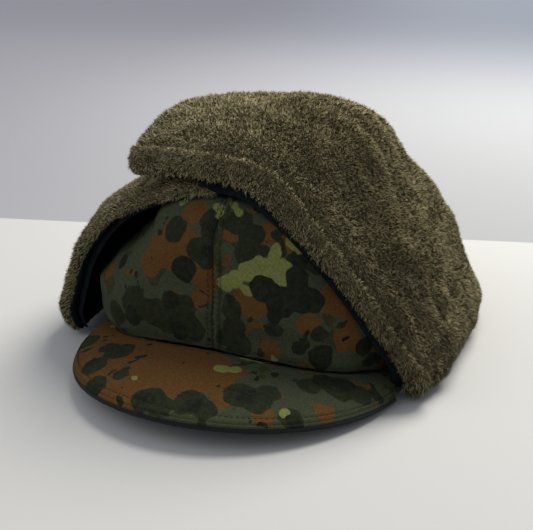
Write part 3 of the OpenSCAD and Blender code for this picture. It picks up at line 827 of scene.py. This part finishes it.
class Flap:
    """A fur flap as a closed pillow: rows along it, and round each row a ring of points."""

    def __init__(self, side, rows, columns, corners):
        self.side = side
        rays = ear_rays(side) if side else neck_rays()
        centre = self.surface(rays, np.full((len(rays), 1), 0.5), 0.0)[:, 0]
        run = np.concatenate([[0], np.cumsum(np.linalg.norm(np.diff(centre, axis=0), axis=1))])
        self.along = spread(run[-1], rows)
        rays = np.stack([np.interp(self.along, run, rays[:, k]) for k in range(6)], -1)
        dense = np.linspace(0, 1, 160)
        across = self.surface(rays, np.tile(dense, (len(rays), 1)), 4.0)
        steps = np.linalg.norm(np.diff(across, axis=1), axis=2)
        width = np.concatenate([np.zeros((len(rays), 1)), np.cumsum(steps, axis=1)], axis=1)
        front_foot, rear_foot, front_end, rear_end = corners
        from_end = run[-1] - self.along
        trims = []
        for foot, end in ((front_foot, front_end), (rear_foot, rear_end)):
            trims.append(self.rounding(self.along, foot) + self.rounding(from_end, end))
        self.width = width[:, -1] - trims[0] - trims[1]
        self.from_front = np.stack([spread(w, columns) for w in self.width])
        share = np.stack([np.interp(d + t, w, dense)
                          for d, t, w in zip(self.from_front, trims[0], width)])
        from_rear = self.width[:, None] - self.from_front
        from_ends = np.minimum(self.along, from_end)[:, None]
        self.edge = np.minimum(np.minimum(self.from_front, from_rear), from_ends)
        swell = np.sqrt(1 - (1 - np.clip(self.edge / EDGE_ROUND, 0, 1)) ** 2)
        middle, half = (PILE_TOP + PILE_FOOT) / 2, (PILE_FOOT - PILE_TOP) / 2
        guide = self.surface(rays, share, middle)
        self.outer = self.surface(rays, share, middle - half * swell - self.relief(guide) * swell)
        self.inner = self.surface(rays, share, middle + half * swell)

    @staticmethod
    def rounding(distance, radius):
        """How far a rounded corner draws the edge in, at a distance from the flap's end."""
        inside = np.clip(radius - distance, 0, None)
        return radius - np.sqrt(np.maximum(radius ** 2 - inside ** 2, 0))

    def surface(self, rays, share, depth):
        outside = lambda p: fur_outside(p, depth, self.side)
        if self.side:
            y = rays[:, 4:5] + (rays[:, 5:6] - rays[:, 4:5]) * share
            start = np.stack([rays[:, 0:1] + 0 * y, y, rays[:, 1:2] + 0 * y], -1)
            way = np.stack([rays[:, 2:3] + 0 * y, 0 * y, rays[:, 3:4] + 0 * y], -1)
            return hit(outside, start, unit(way))
        z = rays[:, 1:2] + 0 * share
        y_end = FLAP_REAR + BODY_GAP
        flat = lambda p: fur_outside(p, 0.0, 0)
        low = np.stack([0 * z[:, 0], 0 * z[:, 0] + y_end, z[:, 0]], -1)
        left = hit(flat, low, np.array([1.0, 0, 0]))
        right = hit(flat, low, np.array([-1.0, 0, 0]))
        first = np.arctan2(left[:, 0], y_end - FUR_CENTRE)[:, None]
        last = np.arctan2(right[:, 0], y_end - FUR_CENTRE)[:, None]
        angle = first + (last - first) * share
        start = np.stack([0 * z, FUR_CENTRE + 0 * z, z], -1)
        return hit(outside, start, np.stack([np.sin(angle), np.cos(angle), 0 * z], -1))

    def relief(self, p):
        """Folds, creases and unevenness of the fur's ground, in mm outwards."""
        relief = 0.8 * ripple(p, 46, 21) + 0.35 * ripple(p, 17, 22)
        if self.side > 0:
            relief += -GROOVE_DEPTH * np.exp(-((self.from_front - GROOVE_AT) / 1.6) ** 2)
            relief += 1.0 * np.exp(-((self.from_front - 4.5) / 3.0) ** 2)
            for crease in LEFT_CREASES:
                relief += crease_relief(p, *crease)
        if self.side >= 0:
            relief -= 3.0 * np.exp(-((p[..., 2] - 46) / 26) ** 2) * (p[..., 0] > 0)
        else:
            for at in RIGHT_GROOVES:
                relief += -1.6 * np.exp(-((self.from_front - at) / 1.7) ** 2)
        return np.clip(relief, -6.5, 3.0)


def away_from(p, points):
    """Distance from a line of points."""
    away = np.full(p.shape[:-1], 1e9)
    for a, b in zip(points[:-1], points[1:]):
        a, b = np.array(a, float), np.array(b, float)
        share = np.clip(((p - a) @ (b - a)) / ((b - a) @ (b - a)), 0, 1)
        away = np.minimum(away, np.linalg.norm(p - a - share[..., None] * (b - a), axis=-1))
    return away


def crease_relief(p, points, depth, half_width):
    """A valley along a line of points, with a soft ridge to each side of it."""
    away = away_from(p, points)
    valley = np.exp(-(away / half_width) ** 2)
    ridge = np.exp(-((away - 2.6 * half_width) / (1.4 * half_width)) ** 2)
    return depth * (0.5 * ridge - valley)


def ring_mesh(flap):
    """The flap's pillow as points and outward faces, with what is known at each point."""
    rows = flap.outer.shape[0]
    join = lambda a, b: np.concatenate([a, b[:, -2:0:-1]], axis=1)
    points = join(flap.outer, flap.inner)
    inside = join(np.zeros(flap.edge.shape), np.ones(flap.edge.shape)).ravel()
    edge = join(flap.edge, flap.edge).ravel()
    from_front = join(flap.from_front, flap.from_front).ravel()
    faces = grid_faces(rows, points.shape[1], closed=True)
    points = points.reshape(-1, 3)
    middles = points[faces].mean(1)
    if np.sum(face_normals(points, faces) * middles) < 0:
        faces = faces[:, ::-1]
    return points, faces, inside, edge, from_front


def face_normals(points, faces):
    """Normals of quads with lengths of their areas."""
    a, b, c, d = (points[faces[:, k]] for k in range(4))
    return np.cross(c - a, d - b) / 2


def point_normals(points, faces):
    normals = np.zeros(points.shape)
    each = face_normals(points, faces)
    for k in range(4):
        np.add.at(normals, faces[:, k], each)
    return unit(normals)


def pinned(obj, bodies, start=None, end=None):
    """Carry a flap's piece on its body; a piece of two bodies only has its transform baked into its
    points.
    """
    if len(bodies) == 1:
        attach(obj, bodies[0])
    else:
        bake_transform(obj)


def fur_flap(name, flap, bodies, bend, nodes, skin_material, backing_material, piles, density):
    points, faces, inside, edge, from_front = ring_mesh(flap)
    normals = point_normals(points, faces)
    deep = (inside[faces] * (edge[faces] > 0.9)).min(1) > 0
    skin = mesh_object(name + "_fur_ground", points, faces[~deep], [skin_material])
    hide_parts(*[n for n in nodes if not n.endswith("backing")])
    under = (inside[faces] * (edge[faces] > 0.4)).min(1) > 0
    used, index = np.unique(faces[under], return_inverse=True)
    lift = np.where(edge[used] > 0.6, 0.55, 0.0)[:, None]
    backing = mesh_object(name + "_backing_cloth", points[used] + normals[used] * lift,
                          index.reshape(-1, 4), [backing_material])
    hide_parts(*[n for n in nodes if n.endswith("backing")])
    if flap.side:
        # A dark lip along an ear flap's front edge, as painted shadow.
        edging = mesh_object(name + "_backing_edge", *backing_edge(flap), [backing_material])
        pinned(edging, bodies, *bend)
    tufts = fur_tufts(name, flap.side, points, faces, normals, inside, edge, from_front,
                      piles, density)
    for obj in [skin, backing, *tufts]:
        pinned(obj, bodies, *bend)


def backing_edge(flap):
    """The lip of backing cloth that shows past the fur along a flap's front edge: a dark strip as
    painted shadow in the gap under the fur.
    """
    column = 8
    last = flap.along[-1] * 0.84
    rows = (flap.along > 3) & (flap.along < last)
    lip = SHADOW_LIP - 2.4 * (1 - ease((last - flap.along[rows]) / 16))
    root = flap.inner[rows, column]
    forward = unit(flap.outer[rows, 0] - flap.outer[rows, column])
    inward = unit(flap.inner[rows, column + 4] - flap.outer[rows, column + 4])
    reach = np.stack([0 * lip - 1.0, 0 * lip + 2.0, 0 * lip + 5.0,
                      EDGE_OFFSETS[column] + lip * 0.6, EDGE_OFFSETS[column] + lip], 1)
    dip = np.array([0.1, 0.4, 0.7, 1.2, 2.4])
    outer = (root[:, None] + forward[:, None] * reach[:, :, None]
             + inward[:, None] * dip[None, :, None])
    return slab(outer, outer + inward[:, None] * 0.8)


# Fur pile ---------------------------------------------------------------------------------------

PILE_LENGTH, PILE_WIDTH = 2.7, 0.25
CLUMP_SIZE = 1.7
MOST_TUFTS = 62000           # in one object
TABLE_GAP = 0.3              # the pile does not reach below this height


def scattered(points, faces, normals, weight, count, random):
    """Places on the faces, by area and weight: points, normals and the faces' corners' shares."""
    area = np.linalg.norm(face_normals(points, faces), axis=1) * weight
    chosen = random.choice(len(faces), count, p=area / area.sum())
    u, v = random.random((2, count))
    shares = np.stack([(1 - u) * (1 - v), u * (1 - v), u * v, (1 - u) * v], -1)
    corners = faces[chosen]
    place = np.einsum("nk,nkj->nj", shares, points[corners])
    normal = unit(np.einsum("nk,nkj->nj", shares, normals[corners]))
    return place, normal, corners, shares


def clumps(place, random):
    """The middle of the clump that each place belongs to, and a random number for each clump."""
    table = random.random((4096, 4))
    cell = np.floor(place / CLUMP_SIZE + 0.35 * ripple(place, 11, 77)[:, None]).astype(np.int64)
    key = (cell @ np.array([73856093, 19349663, 83492791])) % 4096
    middle = (cell + 0.15 + 0.7 * table[key, :3]) * CLUMP_SIZE
    return middle, table[key, 3]


def fur_tufts(name, side, points, faces, normals, inside, edge, from_front, piles, density):
    """The pile of a flap: loose blades, each of a quad at its foot and a triangle at its tip."""
    random = np.random.default_rng(11 + side)
    weight = tuft_weight(side, points, faces, inside, edge)
    area = np.linalg.norm(face_normals(points, faces), axis=1)
    count = int((area * weight).sum() * density)
    place, normal, corners, shares = scattered(points, faces, normals, weight, count, random)
    front = (shares * from_front[corners]).sum(1)
    middle, chance = clumps(place, random)
    blades, shading = blade_points(place, normal, front, middle, chance, side, random)
    slots = blade_slots(place, front, chance, side, random)
    order = np.argsort(place[:, 2] if side else place[:, 0])
    parts = np.array_split(order, math.ceil(count / MOST_TUFTS))
    return [blade_object(f"{name}_pile_{part + 1}", blades[some], shading[some], slots[some], piles)
            for part, some in enumerate(parts)]


def blade_points(place, normal, front, middle, chance, side, random):
    """Five points for each blade, from its foot to its tip, and the normals that shade them."""
    count = len(place)
    lay = lay_direction(place, normal, side)
    length = PILE_LENGTH * (0.78 + 0.5 * chance) * random.uniform(0.7, 1.2, count)
    length *= groove_shortening(front, side)
    lean = (0.5 + 0.2 * ripple(place, 14, 31) + random.normal(0, 0.22, count))[:, None]
    root = place - normal * 0.6
    inward = middle - place
    inward -= normal * (inward * normal).sum(1)[:, None]
    gather = np.clip(inward, -CLUMP_SIZE, CLUMP_SIZE) * 0.22
    jitter = random.normal(0, 0.42, (count, 3))
    half_way = root + unit(normal + 0.45 * lean * lay) * (0.55 * length)[:, None] + gather * 0.3
    tip = root + unit(normal + lean * lay) * length[:, None] + gather + jitter
    roll = unit(np.cross(unit(tip - root), random.normal(size=(count, 3))))
    width = PILE_WIDTH * random.uniform(0.75, 1.25, count)[:, None] / 2
    blades = np.stack([root - roll * width, root + roll * width, half_way + roll * width * 0.9,
                       half_way - roll * width * 0.9, tip], 1)
    blades[..., 2] = np.maximum(blades[..., 2], TABLE_GAP)
    soft = unit(normal + 0.12 * lean * lay)
    return blades, np.stack([normal, normal, soft, soft, unit(normal + 0.25 * lean * lay)], 1)


def blade_slots(place, front, chance, side, random):
    """Numbers of the colours of each blade's foot and tip, from the darkest to the palest."""
    shade = 0.28 * chance + 0.2 * ripple(place, 6, 41) + random.uniform(0, 0.72, len(place))
    # Painted shade darkens blades, and a painted highlight pales some of them.
    shade -= painted_shade_and_highlight(place, front, side)
    pale = hem_paleness(front, side)
    foot = np.clip(np.floor(shade * 2.2 + pale), 0, 2)
    tip = np.clip(2 + np.floor(shade * 3.8 - 0.3 + 1.3 * pale), 1, 5)
    return np.stack([foot, tip], 1)


def blade_object(name, blades, shading, slots, piles):
    first = np.arange(len(blades))[:, None] * 5
    quads = first + np.array([[0, 1, 2, 3]])
    tips = first + np.array([[3, 2, 4, 0]])
    tips[:, 3] = -1
    faces = np.stack([quads, tips], 1).reshape(-1, 4)
    obj = mesh_object(name, blades.reshape(-1, 3), faces, piles, slots.ravel(),
                      normals=shading.reshape(-1, 3))
    return obj


def tuft_weight(side, points, faces, inside, edge):
    """Where the pile grows: not on the backing, nor under the closure or the other tip."""
    middle = points[faces].mean(1)
    depth = (inside * edge)[faces].mean(1)
    weight = 1 - ease((depth - 0.3) / 0.9)
    if side < 0:
        patch = ((middle[:, 0] < -28) & (middle[:, 0] > -62)
                 & (middle[:, 1] < -24) & (middle[:, 1] > -72) & (middle[:, 2] > 90))
        weight = np.where(patch, 0, weight)
        weight *= 1 - 0.6 * ease((middle[:, 2] - 112) / 6)
    return weight


def groove_shortening(front, side):
    if side > 0:
        return 1 - 0.62 * np.exp(-((front - GROOVE_AT) / 1.6) ** 2)
    if side < 0:
        return 1 - 0.4 * sum(np.exp(-((front - at) / 1.8) ** 2) for at in RIGHT_GROOVES)
    return np.ones(front.shape)


def painted_shade_and_highlight(place, front, side):
    """How much darker the pile is painted: painted shade in the groove along an ear flap's front
    edge, and on the left flap along a band and in its creases, less a painted highlight high up
    towards the tip's end.
    """
    if side == 0:
        return 0 * front
    # Painted shade in the groove along the front edge.
    dark = 0.9 * np.exp(-((front - GROOVE_AT) / 1.5) ** 2)
    if side > 0:
        # Painted shade along a band across the left flap.
        dark += 0.75 * np.exp(-(away_from(place, PAINTED_SHADE_BAND) / 26) ** 2)
        # Painted highlight: paler high up towards the tip's end.
        dark -= 0.7 * ease((25 - place[:, 0]) / 70) * ease((place[:, 2] - 90) / 20)
        # Painted shade in the left flap's creases.
        for points, depth, half_width in LEFT_CREASES[:4]:
            dark += 0.09 * depth * np.exp(-(away_from(place, points) / half_width) ** 2)
    return dark


def hem_paleness(front, side):
    return 0.55 * np.exp(-((front - 2.5) / 3.0) ** 2) if side else 0 * front


def lay_direction(place, normal, side):
    """Which way the pile is brushed: down and forwards, in swirls."""
    combed = np.array([0.25, -0.55, -0.8]) if side >= 0 else np.array([-0.25, -0.55, -0.8])
    flat = unit(combed - normal * (normal @ combed)[:, None])
    across = np.cross(normal, flat)
    turn = (0.5 * ripple(place, 34, 51) + 0.4 * ripple(place, 11, 52))[:, None]
    return flat * np.cos(turn) + across * np.sin(turn)


# Stage ------------------------------------------------------------------------------------------

TABLE_SIZE = 9000                    # half its width
TABLE_COLOUR = (163, 161, 156)
# The backdrop's edge as two points (x, y), and its colours: each is one to the left, one to the
# right. The edge is where the photograph's background meets its table, seen from the camera.
BACKDROP_EDGE = ((-324.0, 108.0), (123.0, 231.0))
# These colours paint light and shade into the backdrop: darker near its edge and to the left,
# lighter far off and to the right.
BACKDROP_NEAR_SHADED = ((130, 129, 131), (138, 138, 136))
BACKDROP_FAR_LIT = ((176, 171, 170), (205, 205, 204))


def stage():
    """A pale table top. Beyond a line that runs behind the hat it is painted as a backdrop."""
    corners = [(-1, -1, 0), (1, -1, 0), (1, 1, 0), (-1, 1, 0)]
    obj = mesh_object("table", np.array(corners, float) * TABLE_SIZE, np.array([[0, 1, 2, 3]]),
                      [table_material()])


def table_material():
    nodes = Nodes("table", 1.0)
    point = nodes.millimetres()
    left, right = np.array(BACKDROP_EDGE)
    along = (right - left) / np.linalg.norm(right - left)
    beyond = np.array([-along[1], along[0]])
    moved = nodes.vector("SUBTRACT", point, (*left, 0))
    to_the_right, past_edge = (nodes.vector("DOT_PRODUCT", moved, (*direction, 0))
                               for direction in (along, beyond))
    # Painted light and shade: the backdrop is graded lighter to the right and far from its edge.
    side = nodes.step(to_the_right, -300.0, 700.0)
    distance = nodes.step(past_edge, 0.0, 1500.0)
    near = nodes.mix(side, linear(*BACKDROP_NEAR_SHADED[0]), linear(*BACKDROP_NEAR_SHADED[1]))
    far = nodes.mix(side, linear(*BACKDROP_FAR_LIT[0]), linear(*BACKDROP_FAR_LIT[1]))
    backdrop = nodes.mix(distance, near, far)
    past = nodes.step(past_edge, -1.0, 1.0)
    nodes.colour(nodes.mix(past, linear(*TABLE_COLOUR), backdrop))
    return nodes.material


def area_light(name, place, aim, size, power, colour):
    light = bpy.data.lights.new(name, "AREA")
    light.shape = "DISK"
    light.size = size * MM
    light.energy = power
    light.color = colour
    obj = bpy.data.objects.new(name, light)
    obj.location = Vector(place) * MM
    obj.rotation_euler = (Vector(place) - Vector(aim)).to_track_quat("Z", "Y").to_euler()
    bpy.context.collection.objects.link(obj)


def lights():
    area_light("overhead", (240, 560, 1000), (0, -30, 60), 800, 26.0, (1.0, 0.98, 0.94))
    area_light("front fill", (-800, -700, 800), (0, -40, 60), 900, 3.2, (0.93, 0.96, 1.0))
    world = bpy.data.worlds.new("room")
    world.use_nodes = True
    background = world.node_tree.nodes["Background"]
    background.inputs["Color"].default_value = (0.80, 0.86, 1.0, 1.0)
    background.inputs["Strength"].default_value = 0.78
    bpy.context.scene.world = world
    bpy.context.scene.view_settings.view_transform = "Standard"


def camera():
    azimuth, elevation = math.radians(AZIMUTH), math.radians(ELEVATION)
    back = np.array([math.sin(azimuth) * math.cos(elevation),
                     -math.cos(azimuth) * math.cos(elevation), math.sin(elevation)])
    data = bpy.data.cameras.new("camera")
    data.lens, data.sensor_width = FOCAL_LENGTH, SENSOR
    data.clip_start, data.clip_end = 0.01, 20
    obj = bpy.data.objects.new("camera", data)
    obj.location = Vector((TARGET + DISTANCE * back) * MM)
    obj.rotation_euler = Vector(back).to_track_quat("Z", "Y").to_euler()
    bpy.context.collection.objects.link(obj)
    bpy.context.scene.camera = obj


# The hat ----------------------------------------------------------------------------------------

def cloth_pieces(shade_dark_cloth):
    crown_print = camouflage("crown print", CROWN_SPOTS, -52.0)
    visor_print = camouflage("visor print", VISOR_SPOTS, -40.0)
    thread = plain("thread", (46, 45, 31), 0.8)
    dark_thread = plain("dark thread", (44, 46, 44), 0.7)
    # Near black as painted shade under the visor's edge.
    binding = plain("binding", (22, 24, 24), 0.8, 0.05, 0.15, 0.6)
    crown_panels(crown_print)
    front_seam(crown_print, thread)
    lining(mottled("lining", (34, 37, 40), (46, 49, 52), 12.0, 0.6))
    sweatband(mottled("sweatband", (52, 51, 45), (66, 64, 56), 7.0), thread)
    rim_binding(binding)
    visor_top(visor_print, thread)
    visor_rim(visor_print, binding)
    visor_under(shade_dark_cloth, dark_thread)


def painted_nodes(shade_dark_cloth):
    hook_tape = plain("hook tape", (18, 20, 21), 0.7, 0.0, 0.5, 0.8)
    loop_tape = plain("loop tape", (32, 35, 31), 1.0, 0.0, 0.5, 0.9)
    paint(["left_fold_web", "right_fold_web", "neck_fold_web"], shade_dark_cloth)
    paint(["visor_stiffener"], plain("stiffener", (130, 132, 130), 0.6))
    paint(["size_label"], mottled("label", (214, 212, 204), (226, 224, 217), 5.0))
    paint(["closure_hook_patch"], hook_tape)
    paint(["closure_loop_patch"], loop_tape)


def fur_pieces(shade_dark_cloth):
    skin, piles = fur_skin_material(), pile_materials()
    parts = ("flap_fur", "flap_interlining", "tip_fur", "tip_interlining", "flap_backing",
             "tip_backing")
    ear_flaps = (("left", Flap(1, 150, 78, (8, 8, 9, 24)), 6.0),
                 ("right", Flap(-1, 95, 70, (8, 8, 6, 8)), 4.6))
    for name, flap, density in ear_flaps:
        bend = (Vector((flap.side * 0.098, 0, 0.075)), Vector((flap.side * 0.070, 0, 0.120)))
        fur_flap(name, flap, (name + "_ear_flap", name + "_tip"), bend,
                 [f"{name}_{part}" for part in parts], skin, shade_dark_cloth, piles, density)
    fur_flap("neck", Flap(0, 44, 130, (6, 6, 8, 8)), ("neck_flap",), (),
             ["neck_flap_fur", "neck_flap_interlining", "neck_flap_backing"],
             skin, shade_dark_cloth, piles, 3.4)


def hat():
    # Near black as painted shade: the flaps' backing and its lip, the fold webs and the visor's
    # underside.
    shade_dark_cloth = mottled("cloth dark as painted shade", (11, 15, 16), (18, 23, 24), 9.0)
    cloth_pieces(shade_dark_cloth)
    painted_nodes(shade_dark_cloth)
    fur_pieces(shade_dark_cloth)


hat()
stage()
lights()
camera()
